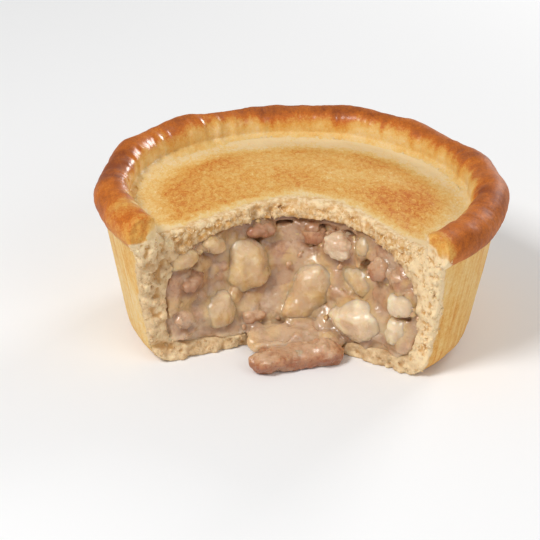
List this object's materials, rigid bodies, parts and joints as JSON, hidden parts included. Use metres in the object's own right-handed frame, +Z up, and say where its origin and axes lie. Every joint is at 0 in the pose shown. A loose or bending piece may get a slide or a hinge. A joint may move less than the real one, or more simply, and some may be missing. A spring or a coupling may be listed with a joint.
{
  "type": "meat and potato pie",
  "caption": "Round pie with a pastry case, a rolled golden rim and a set-down lid, cut open at the front to show gravy, potato lumps and meat.",
  "frame": {"origin": "on the table, on the axis of the round case", "axes": "+Z up along the axis of the case, the cut-out wedge faces -Y, +X to the right of someone looking into the cut"},
  "size_m": [0.11, 0.095, 0.0446],
  "materials": {
    "crust": "baked pastry, pale tan wall and glazed golden-brown rim",
    "lid": "baked pastry, egg-glazed and mottled golden tan",
    "gravy": "wet grey-brown gravy",
    "potato": "wet boiled potato, pale yellow",
    "meat": "cooked minced meat, pinkish brown"
  },
  "bodies": {
    "root": {"pastry_case": "crust", "pastry_lid": "lid", "gravy_filling": "gravy", "potato_1": "potato", "potato_2": "potato", "potato_3": "potato", "potato_4": "potato", "potato_5": "potato", "potato_6": "potato", "potato_7": "potato", "potato_8": "potato", "potato_9": "potato", "potato_10": "potato", "meat_1": "meat", "meat_2": "meat", "meat_3": "meat", "meat_4": "meat", "meat_5": "meat", "meat_6": "meat", "meat_7": "meat", "meat_8": "meat", "fallen_meat": "meat"}
  },
  "joints": []
}
